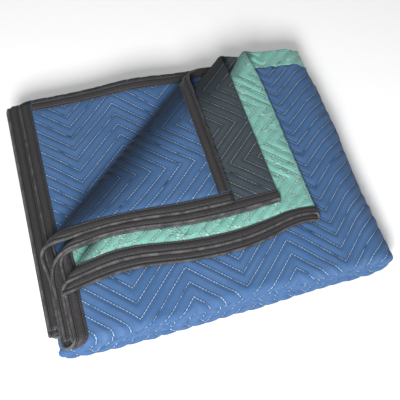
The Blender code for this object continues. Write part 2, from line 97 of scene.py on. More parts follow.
# The path along the cloth, from the free blue end to the hidden dark end
Leg = namedtuple("Leg", "name length start_y end_y start_ply end_ply steps")
NEAR_INNER_Y = NEAR_FOLD_Y - 0.33 * PITCH
HIDDEN_END_Y = NEAR_FOLD_Y + PITCH
NEAR_ARC = math.pi * 2 * PITCH
SMALL_ARC = math.pi * 0.5 * PITCH
ALONG = (
    Leg("ply five", FREE_END_Y - NEAR_FOLD_Y, FREE_END_Y, NEAR_FOLD_Y, 4, 4, 1),
    Leg("near fold", NEAR_ARC, NEAR_FOLD_Y, NEAR_FOLD_Y, 4, 0, 9),
    Leg("ply one", FAR_FOLD_Y - NEAR_FOLD_Y, NEAR_FOLD_Y, FAR_FOLD_Y, 0, 0, 1),
    Leg("far fold", SMALL_ARC, FAR_FOLD_Y, FAR_FOLD_Y, 0, 1, 5),
    Leg("ply two", FAR_FOLD_Y - NEAR_INNER_Y, FAR_FOLD_Y, NEAR_INNER_Y, 1, 1, 1),
    Leg("near inner fold", SMALL_ARC, NEAR_INNER_Y, NEAR_INNER_Y, 1, 2, 5),
    Leg("ply three", FAR_FOLD_Y - NEAR_INNER_Y, NEAR_INNER_Y, FAR_FOLD_Y, 2, 2, 1),
    Leg("far inner fold", SMALL_ARC, FAR_FOLD_Y, FAR_FOLD_Y, 2, 3, 5),
    Leg("ply four", FAR_FOLD_Y - HIDDEN_END_Y, FAR_FOLD_Y, HIDDEN_END_Y, 3, 3, 1),
)

# The path across the cloth, with the spacing of the mesh's columns on each stretch
Span = namedtuple("Span", "name length spacing")
FLAT_SPAN = RIGHT_FOLD_X - LEFT_FOLD_X
ACROSS = (
    Span("top", 400.0 * MM, 5.0 * MM),
    Span("right wrap", math.pi * 7.5 * PITCH, 5.2 * MM),
    Span("bottom", FLAT_SPAN, 35.0 * MM),
    Span("left wrap", math.pi * 2.5 * PITCH, 5.0 * MM),
    Span("third", FLAT_SPAN, 35.0 * MM),
    Span("inner wrap", math.pi * 2.5 * PITCH, 5.0 * MM),
    Span("second", 421.6 * MM, 8.0 * MM),
)


def running_starts(path):
    """Give the distance at which each piece of a path starts, and the whole length."""
    starts = [0.0]
    for piece in path:
        starts.append(starts[-1] + piece.length)
    return np.array(starts)


ALONG_STARTS = running_starts(ALONG)
ACROSS_STARTS = running_starts(ACROSS)
CLOTH_LENGTH = float(ALONG_STARTS[-1])
CLOTH_WIDTH = float(ACROSS_STARTS[-1])


def number_of(path, name):
    """Give the number of a named piece in a path."""
    return [piece.name for piece in path].index(name)


PLY_FIVE = number_of(ALONG, "ply five")
NEAR_FOLD = number_of(ALONG, "near fold")
PLY_ONE = number_of(ALONG, "ply one")
PLY_TWO = number_of(ALONG, "ply two")
PLY_THREE = number_of(ALONG, "ply three")
PLY_FOUR = number_of(ALONG, "ply four")
TOP = number_of(ACROSS, "top")
RIGHT_WRAP = number_of(ACROSS, "right wrap")
INNER_WRAP = number_of(ACROSS, "inner wrap")
SECOND = number_of(ACROSS, "second")
BLUE_SEAM = float(ALONG_STARTS[PLY_ONE]) + BLUE_SEAM_Y - NEAR_FOLD_Y
GREEN_SEAM = float(ALONG_STARTS[PLY_THREE]) + GREEN_SEAM_Y - NEAR_INNER_Y


def find_piece(starts, distance):
    """Find which pieces of a path hold some distances, and the share passed of each."""
    last = len(starts) - 2
    index = np.clip(np.searchsorted(starts, distance, side="right") - 1, 0, last)
    share = (distance - starts[index]) / (starts[index + 1] - starts[index])
    return index, share


def ply_value(column, ply, around):
    """Read a column of PLIES, or lead straight from last to first around the near fold."""
    values = [getattr(row, column) for row in PLIES]
    stepped = np.interp(ply, range(PLY_COUNT), values)
    direct = np.interp(ply, (0, PLY_COUNT - 1), (values[0], values[-1]))
    return np.where(around, direct, stepped)


def along_place(along):
    """Turn distances along the cloth into places toward +Y, ply numbers and legs."""
    index, share = find_piece(ALONG_STARTS, along)
    start_y = np.array([leg.start_y for leg in ALONG])[index]
    end_y = np.array([leg.end_y for leg in ALONG])[index]
    start_ply = np.array([leg.start_ply for leg in ALONG], float)[index]
    end_ply = np.array([leg.end_ply for leg in ALONG], float)[index]
    flat = start_ply == end_ply
    angle = math.pi * np.clip(share, 0.0, 1.0)
    radius = 0.5 * np.abs(end_ply - start_ply) * PITCH
    bulge = np.sign(start_y) * radius * np.sin(angle)
    y = np.where(flat, start_y + share * (end_y - start_y), start_y + bulge)
    ply = start_ply + (end_ply - start_ply) * 0.5 * (1.0 - np.cos(angle))
    return y, np.where(flat, start_ply, ply), index


def bend_rise(ply):
    """Give half of the height from each ply up to its turned part."""
    turned_z = TOP_LAYER * PITCH + TURNED_FIRST_GAP + ply * TURNED_PITCH
    return 0.5 * (turned_z - (TOP_LAYER - ply) * PITCH)


def bend_sizes(ply, around):
    """Give where the turned bend starts, its length around, and its slide aside."""
    rise = bend_rise(ply)
    reach = ply_value("reach", ply, around)
    length = math.pi * np.sqrt(0.5 * (reach * reach + rise * rise))
    shift_x = ply_value("turned_x", ply, around)
    shift_y = ply_value("turned_y", ply, around)
    line = 0.5 * (shift_x + shift_y) - length / math.sqrt(2.0)
    return line, length, 0.5 * (shift_y - shift_x)


def turn_corner(x, y, ply, around):
    """Lay points of the top bunch flat, around the turned bend or on top of it."""
    flat_z = (TOP_LAYER - ply) * PITCH
    rise = bend_rise(ply)
    reach = ply_value("reach", ply, around)
    line, length, slide = bend_sizes(ply, around)
    beyond = (y - x - line) / math.sqrt(2.0)
    share = np.clip(beyond / length, 0.0, 1.0)
    out = reach * np.sin(math.pi * share) - np.maximum(beyond - length, 0.0)
    height = flat_z + rise * (1.0 - np.cos(math.pi * share))
    back = np.where(beyond > 0.0, (beyond - out) / math.sqrt(2.0), 0.0)
    slip = slide * share * share * (3.0 - 2.0 * share)
    return x + back + slip, y - back + slip, height


def bend_share(across, along):
    """Give how far points have come around the turned bend: 0 before it, 1 where it ends."""
    y, ply, leg = along_place(along)
    around = leg == NEAR_FOLD
    span, share = find_piece(ACROSS_STARTS, across)
    left = ply_value("left_top", ply, around)
    x = left + share * (RIGHT_FOLD_X - left)
    line, length, _ = bend_sizes(ply, around)
    beyond = (y - x - line) / math.sqrt(2.0)
    return np.where(span == TOP, np.clip(beyond / length, 0.0, 2.0), 0.0)


def place(across, along):
    """Lay points of the flat cloth in the folded stack, as an array of points."""
    y, ply, leg = along_place(along)
    around = leg == NEAR_FOLD
    span, share = find_piece(ACROSS_STARTS, across)
    angle = math.pi * share
    centre_z = 2 * BUNCH
    left = ply_value("left_top", ply, around)
    top_x, top_y, top_z = turn_corner(left + share * (RIGHT_FOLD_X - left), y, ply, around)
    right_radius = (TOP_LAYER - ply) * PITCH - centre_z
    depth = (0.5 + ply) * PITCH
    left_radius = BUNCH - depth
    second_left = ply_value("left_second", ply, around)
    x = np.select(
        [span == index for index in range(len(ACROSS))],
        [
            top_x,
            RIGHT_FOLD_X + right_radius * np.sin(angle),
            RIGHT_FOLD_X - share * FLAT_SPAN,
            LEFT_FOLD_X - left_radius * np.sin(angle),
            LEFT_FOLD_X + share * (INNER_FOLD_X - LEFT_FOLD_X),
            INNER_FOLD_X + depth * np.sin(angle),
            INNER_FOLD_X + share * (second_left - INNER_FOLD_X),
        ],
    )
    z = np.select(
        [span == index for index in range(len(ACROSS))],
        [
            top_z,
            centre_z + right_radius * np.cos(angle),
            depth,
            BUNCH - left_radius * np.cos(angle),
            centre_z - depth,
            centre_z - depth * np.cos(angle),
            centre_z + depth,
        ],
    )
    y = np.where(span == TOP, top_y, y)
    spread = 1.0 + TAPER * x
    points = np.stack((x / spread, y / spread + LEAN * x / spread, z / spread), axis=-1)
    return points + CENTRING


def soft_step(value, start, end):
    """Rise smoothly from 0 at start to 1 at end."""
    share = np.clip((value - start) / (end - start), 0.0, 1.0)
    return share * share * (3.0 - 2.0 * share)


def hump(value, middle, half_width):
    """Give a smooth hump of height 1 around a middle."""
    return np.exp(-(((value - middle) / half_width) ** 2))


# Soft swells of the cloth, each a long low hump or hollow, in metres and radians
Swell = namedtuple("Swell", "x y wide deep turn strength")
SWELLS = (
    Swell(0.150, -0.190, 0.050, 0.014, 0.10, 2.2 * MM),
    Swell(0.100, -0.205, 0.030, 0.010, -0.30, -1.6 * MM),
    Swell(0.030, -0.195, 0.045, 0.012, 0.15, 1.8 * MM),
    Swell(-0.050, -0.200, 0.035, 0.011, -0.20, -1.5 * MM),
    Swell(-0.120, -0.190, 0.040, 0.012, 0.25, 1.6 * MM),
    Swell(0.205, -0.080, 0.012, 0.050, 0.10, 1.4 * MM),
    Swell(0.200, 0.060, 0.012, 0.060, -0.10, 1.6 * MM),
    Swell(0.190, 0.160, 0.014, 0.045, 0.15, -1.3 * MM),
    Swell(-0.120, 0.110, 0.060, 0.020, 0.30, 1.6 * MM),
    Swell(-0.040, 0.150, 0.050, 0.018, -0.20, -1.4 * MM),
    Swell(0.020, 0.020, 0.060, 0.018, 0.80, 1.2 * MM),
    Swell(-0.060, -0.020, 0.060, 0.016, 0.70, -1.0 * MM),
)


def swell(points):
    """Raise and sink points a little, by the soft swells of the cloth."""
    total = np.zeros(len(points))
    for row in SWELLS:
        dx = points[:, 0] - row.x
        dy = points[:, 1] - row.y
        cosine, sine = math.cos(row.turn), math.sin(row.turn)
        u = (dx * cosine + dy * sine) / row.wide
        v = (dy * cosine - dx * sine) / row.deep
        total += row.strength * np.exp(-(u * u + v * v))
    return total


# Pushes of the loose turned corner: where each is felt most, how far around, and its size
Push = namedtuple("Push", "x y wide deep by_x by_y by_z")
PUSHES = (
    Push(-0.115, -0.125, 0.075, 0.070, 0.0, 15.0 * MM, 3.0 * MM),
    Push(0.130, -0.145, 0.055, 0.050, 0.0, 17.0 * MM, 1.5 * MM),
    Push(0.150, 0.205, 0.035, 0.035, -7.0 * MM, 2.0 * MM, 6.0 * MM),
)

# How the stack's sides are drawn in or out. Each pull rises from 0 to 1 over a stretch of
# x, y and z, and counts in full along an axis that gives none.
Pull = namedtuple("Pull", "by_x by_y in_x in_y in_z")
NEAR_WALL = (-0.165, -0.215)
LOW_DOWN = (62.0 * MM, 0.0)
LEFT_WALL = (-0.185, -0.230)
LOWER_BUNCHES = (54.0 * MM, 42.0 * MM)
PULLS = (
    Pull(0.0, 10.0 * MM, None, NEAR_WALL, LOW_DOWN),
    Pull(0.0, 9.0 * MM, (0.040, 0.150), NEAR_WALL, LOW_DOWN),
    Pull(0.0, 4.0 * MM, (-0.150, -0.210), NEAR_WALL, LOW_DOWN),
    Pull(5.0 * MM, 0.0, LEFT_WALL, None, LOWER_BUNCHES),
    Pull(0.0, -14.0 * MM, LEFT_WALL, (0.110, 0.215), LOWER_BUNCHES),
    Pull(7.0 * MM, 0.0, (0.120, 0.205), (-0.160, 0.200), None),
)

# How the stack sinks at its right side and its near side, as a share of its height
Sink = namedtuple("Sink", "share in_x in_y in_z")
HIGH_UP = (20.0 * MM, 60.0 * MM)
SINKS = (
    Sink(0.15, (0.105, 0.215), None, HIGH_UP),
    Sink(0.12, None, (-0.130, -0.215), HIGH_UP),
)

# How the near left corner of the second bunch is drawn in
CORNER_IN = 24.0 * MM
CORNER_X = (-0.175, -0.215)
CORNER_Y = (-0.080, -0.205)

# How the second bunch's far edge is lifted
FAR_LIFT = 7.0 * MM
FAR_LIFT_X = -0.035
FAR_LIFT_WIDE = 0.055
FAR_LIFT_Y = (0.120, 0.215)

# How the near wall waves, less at the bottom, and the right wall
NEAR_WAVE = 1.8 * MM
NEAR_WAVE_LENGTH = 0.033
NEAR_WAVE_PHASE = 1.0
NEAR_WAVE_Y = (-0.140, -0.205)
LOW_WAVE_SHARE = 0.4
RIGHT_WAVE = 1.6 * MM
RIGHT_WAVE_LENGTH = 0.040
RIGHT_WAVE_X = (0.150, 0.215)
TURNED_SHARE = (0.1, 0.9)


def felt_share(points, stretches):
    """Give how strongly a pull is felt at points, by its stretches of x, y and z."""
    share = np.ones(len(points))
    for values, stretch in zip(points.T, stretches):
        if stretch is not None:
            share = share * soft_step(values, *stretch)
    return share


def settle_edges(points, turned):
    """Draw the stack's sides in or out, as they lie in the photo."""
    laid = points.copy()
    x, y, z = laid.T
    for pull in PULLS:
        share = felt_share(laid, (pull.in_x, pull.in_y, pull.in_z))
        points[:, 0] += pull.by_x * share
        points[:, 1] += pull.by_y * share
    for sink in SINKS:
        share = felt_share(laid, (sink.in_x, sink.in_y, sink.in_z))
        points[:, 2] -= z * sink.share * share
    for push in PUSHES:
        share = turned * hump(x, push.x, push.wide) * hump(y, push.y, push.deep)
        points[:, 0] += push.by_x * share
        points[:, 1] += push.by_y * share
        points[:, 2] += push.by_z * share


def relax(points, across, along):
    """Loosen the evenly folded stack a little, as limp cloth lies."""
    span, _ = find_piece(ACROSS_STARTS, across)
    points = points.copy()
    settle_edges(points, soft_step(bend_share(across, along), *TURNED_SHARE))
    x, y, z = points.T.copy()
    corner = soft_step(x, *CORNER_X) * soft_step(y, *CORNER_Y)
    points[:, 1] += np.where(span == SECOND, CORNER_IN * corner, 0.0)
    high = soft_step(z, *HIGH_UP)
    lift = FAR_LIFT * hump(x, FAR_LIFT_X, FAR_LIFT_WIDE) * soft_step(y, *FAR_LIFT_Y)
    lift = np.where(span >= INNER_WRAP, lift, 0.0)
    near_wave = NEAR_WAVE * np.sin(x / NEAR_WAVE_LENGTH + NEAR_WAVE_PHASE)
    near_wave *= soft_step(y, *NEAR_WAVE_Y) * (LOW_WAVE_SHARE + (1.0 - LOW_WAVE_SHARE) * high)
    points[:, 0] += RIGHT_WAVE * soft_step(x, *RIGHT_WAVE_X) * np.sin(y / RIGHT_WAVE_LENGTH)
    points[:, 1] += near_wave
    points[:, 2] += lift + swell(points) * high
    return points


def outward(across, along):
    """Give the directions away from the shown face of the cloth."""
    step = 0.3 * MM

    def laid(a, b):
        return relax(place(a, b), a, b)

    by_across = laid(across + step, along) - laid(across - step, along)
    by_along = laid(across, along + step) - laid(across, along - step)
    normal = np.cross(by_across, by_along)
    return normal / np.linalg.norm(normal, axis=1, keepdims=True)


def zigzag(across, phase):
    """Give the zigzag's swing along the cloth."""
    turn = np.mod((across - phase) / ZIGZAG_PERIOD, 1.0)
    return ZIGZAG_PERIOD * np.abs(turn - 0.5)


def edge_inset(across, along):
    """Give the distance from points of the cloth to its nearest edge."""
    sides = np.minimum(across, CLOTH_WIDTH - across)
    ends = np.minimum(along, CLOTH_LENGTH - along)
    return np.minimum(sides, ends)


def rough(points, size, seed):
    """Give smooth noise from -1 to 1 at points, for lumps of a size."""
    offset = Vector((seed * 7.3, seed * 3.1, seed * 5.7))
    return np.array([noise.noise(Vector(point) / size + offset) for point in points])


# Each panel: where it lies along the cloth, where its zigzag turns, the height of its
# puff, of its sharp small wrinkles and of its soft lumps, and the size of the wrinkles
Panel = namedtuple("Panel", "name low high phase puff crease lump crease_size")
SEAM = 0.15 * MM
PANELS = (
    Panel(
        name="pad_blue",
        low=0.0,
        high=BLUE_SEAM - SEAM,
        phase=BLUE_PHASE,
        puff=2.4 * MM,
        crease=0.8 * MM,
        lump=0.9 * MM,
        crease_size=0.026,
    ),
    Panel(
        name="pad_green",
        low=BLUE_SEAM + SEAM,
        high=GREEN_SEAM - SEAM,
        phase=BLUE_PHASE,
        puff=1.9 * MM,
        crease=2.0 * MM,
        lump=0.8 * MM,
        crease_size=0.021,
    ),
    Panel(
        name="pad_dark",
        low=GREEN_SEAM + SEAM,
        high=CLOTH_LENGTH,
        phase=DARK_PHASE,
        puff=2.2 * MM,
        crease=0.6 * MM,
        lump=0.8 * MM,
        crease_size=0.024,
    ),
)

# Lines of the mesh beside each edge, where the cloth comes out from under its tape, and
# how far in from the edge it is puffed in full
EDGE_LINES = (9.0 * MM, 17.9 * MM, 22.0 * MM)
FULL_INSET = 24.0 * MM

# How far the mesh's even columns stay from the zigzag's turns, what it has to spare
# before it is trimmed, and how close to a cut a point is drawn onto it
TURN_CLEARANCE = 1.2 * MM
TRIM_SPARE = 2.0 * MM
TRIM_MERGE = 0.2 * MM
CUT_MERGE = 0.25 * MM

ROWS_PER_STITCH = 5

# Half of the thickness at a bare edge, and what the wadding adds to it
HALF_CLOTH = 0.5 * MM
HALF_WADDING = 0.25 * MM

# How the puff is shaped: its roundness, what every ply has, what only a free ply adds,
# what the other face has, and how freely a half held ply puffs
PUFF_POWER = 0.75
HIDDEN_PUFF = 0.3
SHOWN_PUFF = 0.7
OTHER_FACE_PUFF = 0.35
HELD_DOWN = 0.8

# How unevenly the wadding fills, and how its lumps and the cloth's sharp creases lie
USUAL_FILLING = 0.85
UNEVEN_FILLING = 0.3
FILLING_SIZE = 0.03
LUMP_SIZE = 0.045
CREASE_STRETCH = np.array((1.0, 1.6, 1.0))
CREASE_HALF = 0.22
CREASE_POWER = 1.5


def column_places(phase, spacing_scale):
    """List the mesh's columns: at every turn of the zigzag, and evenly between."""
    places = set()
    for span, start in zip(ACROSS, ACROSS_STARTS):
        spacing = span.spacing * spacing_scale
        count = max(1, round(span.length / spacing))
        for step in range(count):
            places.add(round(start + span.length * step / count, 6))
    for inset in EDGE_LINES:
        places.update((round(inset, 6), round(CLOTH_WIDTH - inset, 6)))
    places.add(round(CLOTH_WIDTH, 6))
    turns = []
    half = 0.5 * ZIGZAG_PERIOD
    for number in range(-4, int(CLOTH_WIDTH / half) + 2):
        turn = phase + number * half
        if 0.0 < turn < CLOTH_WIDTH:
            turns.append(round(turn, 6))
    clear = set(turns)
    for value in places:
        if all(abs(value - turn) > TURN_CLEARANCE for turn in turns):
            clear.add(value)
    return np.array(sorted(clear))


def flat_panel(panel, rows_per_stitch, spacing_scale):
    """Make one panel flat, with rows that follow its zigzag, cut along its folds."""
    columns = column_places(panel.phase, spacing_scale)
    pitch = ROW_PITCH / rows_per_stitch
    swing = zigzag(columns, panel.phase)
    first = math.floor(panel.low / pitch) - 1
    last = math.ceil((panel.high + 0.5 * ZIGZAG_PERIOD) / pitch) + 1
    levels = np.arange(first, last + 1) * pitch
    across = np.repeat(columns[:, None], len(levels), axis=1)
    along = levels[None, :] - swing[:, None]
    index = np.arange(across.size).reshape(across.shape)
    quads = np.stack((index[:-1, :-1], index[1:, :-1], index[1:, 1:], index[:-1, 1:]), axis=-1)
    quads = quads.reshape(-1, 4)
    flat_along = along.ravel()
    past_low = flat_along[quads].max(axis=1) > panel.low - TRIM_SPARE
    before_high = flat_along[quads].min(axis=1) < panel.high + TRIM_SPARE
    quads = quads[past_low & before_high]
    data = bpy.data.meshes.new(panel.name + "_flat")
    points = np.stack((across.ravel(), flat_along, np.zeros(across.size)), axis=-1)
    data.from_pydata(points.tolist(), [], quads.tolist())
    mesh = bmesh.new()
    mesh.from_mesh(data)
    bpy.data.meshes.remove(data)
    loose = [vertex for vertex in mesh.verts if not vertex.link_faces]
    bmesh.ops.delete(mesh, geom=loose, context="VERTS")
    trim(mesh, panel.low, -1.0)
    trim(mesh, panel.high, 1.0)
    for leg, start in zip(ALONG, ALONG_STARTS):
        for step in range(leg.steps):
            level = float(start) + leg.length * step / leg.steps
            if panel.low + MM < level < panel.high - MM:
                cut_level(mesh, level)
    for inset in EDGE_LINES:
        for level in (inset, CLOTH_LENGTH - inset):
            if panel.low + MM < level < panel.high - MM:
                cut_level(mesh, level)
    return mesh


def trim(mesh, level, side):
    """Cut a flat mesh at a place along the cloth, and drop what lies past it."""
    geometry = list(mesh.verts) + list(mesh.edges) + list(mesh.faces)
    bmesh.ops.bisect_plane(
        mesh,
        geom=geometry,
        dist=TRIM_MERGE,
        plane_co=(0.0, level, 0.0),
        plane_no=(0.0, side, 0.0),
        clear_outer=True,
    )


def cut_level(mesh, level):
    """Cut a flat mesh along one line across the cloth."""
    reach = 0.5 * ROW_PITCH
    faces = [face for face in mesh.faces if abs(face.calc_center_median().y - level) < reach]
    geometry = set(faces)
    for face in faces:
        geometry.update(face.edges)
        geometry.update(face.verts)
    bmesh.ops.bisect_plane(
        mesh,
        geom=list(geometry),
        dist=CUT_MERGE,
        plane_co=(0.0, level, 0.0),
        plane_no=(0.0, 1.0, 0.0),
    )


def shown_share(points, across, along):
    """Give how freely each point may puff: 1 on the outside, less between plies."""
    span, _ = find_piece(ACROSS_STARTS, across)
    _, _, leg = along_place(along)
    above = points[:, 2] > (TOP_LAYER + 0.5) * PITCH
    free = np.zeros(len(points))
    top = span == TOP
    free[top & (leg <= PLY_ONE)] = 1.0
    free[top & above & ((leg == PLY_TWO) | (leg == PLY_FOUR))] = HELD_DOWN
    free[(span == RIGHT_WRAP) & (leg == PLY_ONE)] = 1.0
    free[(span == SECOND) & (leg == PLY_FIVE)] = 1.0
    free[leg == NEAR_FOLD] = HELD_DOWN
    return free


# Painted shade around the turned bend: how dark the cloth is painted, by how far it has come
# around it. The inner plies are painted less dark than the first one, which ends where
# PLY_FIVE_END says.
BEND_DARKENS = (0.10, 0.45)
BEND_CLEARS = (0.75, 1.80)
INNER_PLY_SHADE = 0.75
FREE_END_STEP = (0.0, 1.0 * MM)
PLY_FIVE_END = (0.40, 0.41)

# Painted shade on the second bunch under the turned corner, by y less x and by y
UNDER_SHADE = 0.85
UNDER_ENDS = (0.128, 0.160)
UNDER_STARTS = (-0.190, -0.160)


def fold_shade(points, across, along):
    """Give how much painted shade the cloth has by the turned corner: 0 in the open, 1 at most."""
    share = bend_share(across, along)
    first_ply = soft_step(along, *FREE_END_STEP) * (1.0 - soft_step(along, *PLY_FIVE_END))
    shade = soft_step(share, *BEND_DARKENS) * (1.0 - soft_step(share, *BEND_CLEARS))
    shade = shade * (INNER_PLY_SHADE + (1.0 - INNER_PLY_SHADE) * first_ply)
    span, _ = find_piece(ACROSS_STARTS, across)
    _, _, leg = along_place(along)
    under = 1.0 - soft_step(points[:, 1] - points[:, 0], *UNDER_ENDS)
    under = UNDER_SHADE * under * soft_step(points[:, 1], *UNDER_STARTS)
    return np.maximum(shade, np.where((span == SECOND) & (leg == PLY_FIVE), under, 0.0))


def close_sheet(mesh, name, half_top, half_bottom, directions):
    """Give a laid sheet its two faces and its rim, none of it under the floor."""
    top = mesh.verts.layers.float.new("top")
    bottom = mesh.verts.layers.float.new("bottom")
    way = mesh.verts.layers.float_vector.new("way")
    for vertex, above, below, direction in zip(mesh.verts, half_top, half_bottom, directions):
        vertex[top] = above
        vertex[bottom] = below
        vertex[way] = direction
    middle = set(mesh.verts)
    bmesh.ops.extrude_face_region(mesh, geom=list(mesh.faces), use_keep_orig=True)
    for vertex in mesh.verts:
        grow = vertex[top] if vertex in middle else -vertex[bottom]
        vertex.co = vertex.co + vertex[way] * grow
        vertex.co.z = max(vertex.co.z, 0.0)
    bmesh.ops.recalc_face_normals(mesh, faces=mesh.faces)
    for face in mesh.faces:
        face.smooth = True
    data = bpy.data.meshes.new(name)
    mesh.to_mesh(data)
    mesh.free()
    item = bpy.data.objects.new(name, data)
    bpy.context.scene.collection.objects.link(item)
    return item


def write_cloth_uv(mesh):
    """Keep each point's place on the flat cloth, in metres, as the UV map."""
    layer = mesh.loops.layers.uv.new("cloth")
    for face in mesh.faces:
        for loop in face.loops:
            loop[layer].uv = loop.vert.co.xy


def write_shade_uv(mesh, shade):
    """Keep each point's painted shade in the UV map that the quilted cloth's material reads."""
    layer = mesh.loops.layers.uv.new("fold")
    mesh.verts.index_update()
    for face in mesh.faces:
        for loop in face.loops:
            loop[layer].uv = (shade[loop.vert.index], 0.0)


def cloth_name(panel):
    """Give the name of a panel's cloth, such as blue."""
    return panel.name.removeprefix("pad_")


def make_panel(panel, puff_scale):
    """Make one quilted panel, laid in the stack and puffed between its stitches."""
    rows = ROWS_PER_STITCH
    mesh = flat_panel(panel, rows, 1.0)
    write_cloth_uv(mesh)
    flat = np.array([vertex.co[:] for vertex in mesh.verts])
    across, along = flat[:, 0], flat[:, 1]
    points = relax(place(across, along), across, along)
    directions = outward(across, along)
    row = (along + zigzag(across, panel.phase)) / ROW_PITCH
    pillow = np.abs(np.sin(math.pi * row)) ** PUFF_POWER
    full = soft_step(edge_inset(across, along), BINDING_WIDTH, FULL_INSET)
    free = shown_share(points, across, along)
    lumps = rough(points, LUMP_SIZE, 1.0) * panel.lump
    near_zero = np.abs(rough(flat * CREASE_STRETCH, panel.crease_size, 2.0))
    ridges = np.maximum(1.0 - near_zero / CREASE_HALF, 0.0) ** CREASE_POWER
    filling = USUAL_FILLING + UNEVEN_FILLING * rough(flat, FILLING_SIZE, 3.0)
    height = pillow * panel.puff * puff_scale * filling
    shown = SHOWN_PUFF * height + ridges * panel.crease * pillow + lumps
    top = HALF_CLOTH + full * (HALF_WADDING + HIDDEN_PUFF * height + free * shown)
    bottom = HALF_CLOTH + full * (HALF_WADDING + OTHER_FACE_PUFF * pillow * panel.puff)
    write_shade_uv(mesh, fold_shade(points, across, along))
    for vertex, point in zip(mesh.verts, points):
        vertex.co = point
    return close_sheet(mesh, "quilt_" + cloth_name(panel), top, bottom, directions)


# The binding's section: distance in from the cloth's edge, and extra height of the tape
Station = namedtuple("Station", "inset swell")
SECTION = (
    Station(17.0 * MM, 0.0),
    Station(16.3 * MM, 0.5 * MM),
    Station(14.6 * MM, 0.1 * MM),
    Station(13.8 * MM, 0.1 * MM),
    Station(11.0 * MM, 1.5 * MM),
    Station(8.0 * MM, 1.8 * MM),
    Station(5.2 * MM, 1.0 * MM),
    Station(4.0 * MM, 0.0),
    Station(2.6 * MM, 1.0 * MM),
    Station(0.6 * MM, 1.1 * MM),
)
TAPE_HALF = 0.25 * MM

# How far past a slanting edge the tape may reach, for each unit that it would else
MOST_REACH = 2.5

# The rows of a tape's mesh: their spacing, and how many a short fold has
TAPE_SPACING = 5.0 * MM
SHORT_FOLD = 30.0 * MM
SHORT_FOLD_ROWS = 7.0

# An end tape starts where the side tape over it ends
END_TAPE_START = BINDING_WIDTH + 1.2 * MM

# The fold of the tape past the cloth's edge: its two corners and its tip
LIP_CORNER = -0.4 * MM
LIP_SWELL = 0.1 * MM
LIP_TIP = -0.95 * MM

# How unevenly the tape's ridges swell, and how much of them the hidden face has
RIDGE_VARIES = 0.6
TAPE_WAVE = 0.2 * MM
TAPE_WAVE_SIZE = 0.024
HIDDEN_RIDGE = 0.4


def tape_places(on_side):
    """List the places of the mesh's rows along a tape, with every fold among them."""
    path, starts = (ALONG, ALONG_STARTS) if on_side else (ACROSS, ACROSS_STARTS)
    low = 0.0 if on_side else END_TAPE_START
    high = CLOTH_LENGTH if on_side else CLOTH_WIDTH - low
    places = {low, high}
    for piece, start in zip(path, starts):
        spacing = TAPE_SPACING
        if piece.length < SHORT_FOLD:
            spacing = piece.length / SHORT_FOLD_ROWS
        count = max(1, round(piece.length / spacing))
        for step in range(count):
            value = float(start) + piece.length * step / count
            if low + MM < value < high - MM:
                places.add(value)
    return np.array(sorted(places))


def tape_profile():
    """List the points round the tape's section: inset, height, swell and which face."""
    over = [(row.inset, SIDE_HEIGHT, row.swell, 1.0) for row in SECTION]
    under = [(row.inset, SIDE_HEIGHT, row.swell, -1.0) for row in reversed(SECTION)]
    fold = [
        (LIP_CORNER, SIDE_HEIGHT, LIP_SWELL, 1.0),
        (LIP_TIP, 0.0, 0.0, 0.0),
        (LIP_CORNER, SIDE_HEIGHT, LIP_SWELL, -1.0),
    ]
    return np.array(over + fold + under)


def make_tape(name, on_side, at_start):
    """Make the tape that is folded over one edge of the cloth."""
    run = tape_places(on_side)
    profile = tape_profile()
    rows = len(profile)
    inset, height, swelling, sign = np.tile(profile, (len(run), 1)).T
    limit = CLOTH_WIDTH if on_side else CLOTH_LENGTH
    distance = np.repeat(run, rows)
    edge_distance = inset if at_start else limit - inset
    across, along = (edge_distance, distance) if on_side else (distance, edge_distance)
    step = 0.15 * MM
    by_across = place(across + step, along) - place(across - step, along)
    by_along = place(across, along + step) - place(across, along - step)
    pull, edge = (by_across, by_along) if on_side else (by_along, by_across)
    if at_start:
        pull = -pull
    edge = edge / np.linalg.norm(edge, axis=1, keepdims=True)
    pull = pull / (2.0 * step)
    square = pull - edge * np.sum(pull * edge, axis=1, keepdims=True)
    reach = np.minimum(1.0 / np.linalg.norm(square, axis=1), MOST_REACH)
    square = square / np.linalg.norm(square, axis=1, keepdims=True)
    more = np.where(inset < 0.0, (reach - 1.0) * inset, 0.0)
    if not at_start:
        more = -more
    if on_side:
        across = across + more
    else:
        along = along + more
    direction = outward(across, along)
    centre = relax(place(across, along), across, along)
    wave = rough(np.stack((distance, inset, sign * 0.02), axis=-1), TAPE_WAVE_SIZE, 5.0)
    free = np.where(sign > 0.0, 1.0, HIDDEN_RIDGE)
    ridge = swelling * (1.0 + RIDGE_VARIES * wave) + TAPE_WAVE * wave
    lift = sign * (height + free * ridge)
    points = centre + direction * lift[:, None]
    away = np.where(inset < 0.0, 1.0, 0.0)
    growth = direction * sign[:, None] + square * away[:, None]
    mesh = bmesh.new()
    layer = mesh.loops.layers.uv.new("cloth")
    vertices = [mesh.verts.new(point) for point in points]
    mesh.verts.index_update()
    for number in range(len(run) - 1):
        for station in range(rows - 1):
            corner = number * rows + station
            ring = (corner, corner + 1, corner + rows + 1, corner + rows)
            face = mesh.faces.new([vertices[place_index] for place_index in ring])
            for loop, place_index in zip(face.loops, ring):
                width_place = inset[place_index] * sign[place_index]
                loop[layer].uv = (width_place, distance[place_index])
    half = np.full(len(points), TAPE_HALF)
    return close_sheet(mesh, name, half, half, growth)


def link(tree, source, target):
    """Join one node's output to another's input."""
    tree.links.new(source, target)


def feed(tree, socket, value):
    """Give a socket a number, or join it to an output."""
    if isinstance(value, bpy.types.NodeSocket):
        link(tree, value, socket)
    else:
        socket.default_value = value


def calc(tree, operation, first, second=0.0, third=0.0):
    """Add a maths node and give its output."""
    node = tree.nodes.new("ShaderNodeMath")
    node.operation = operation
    for socket, value in zip(node.inputs, (first, second, third)):
        feed(tree, socket, value)
    return node.outputs[0]


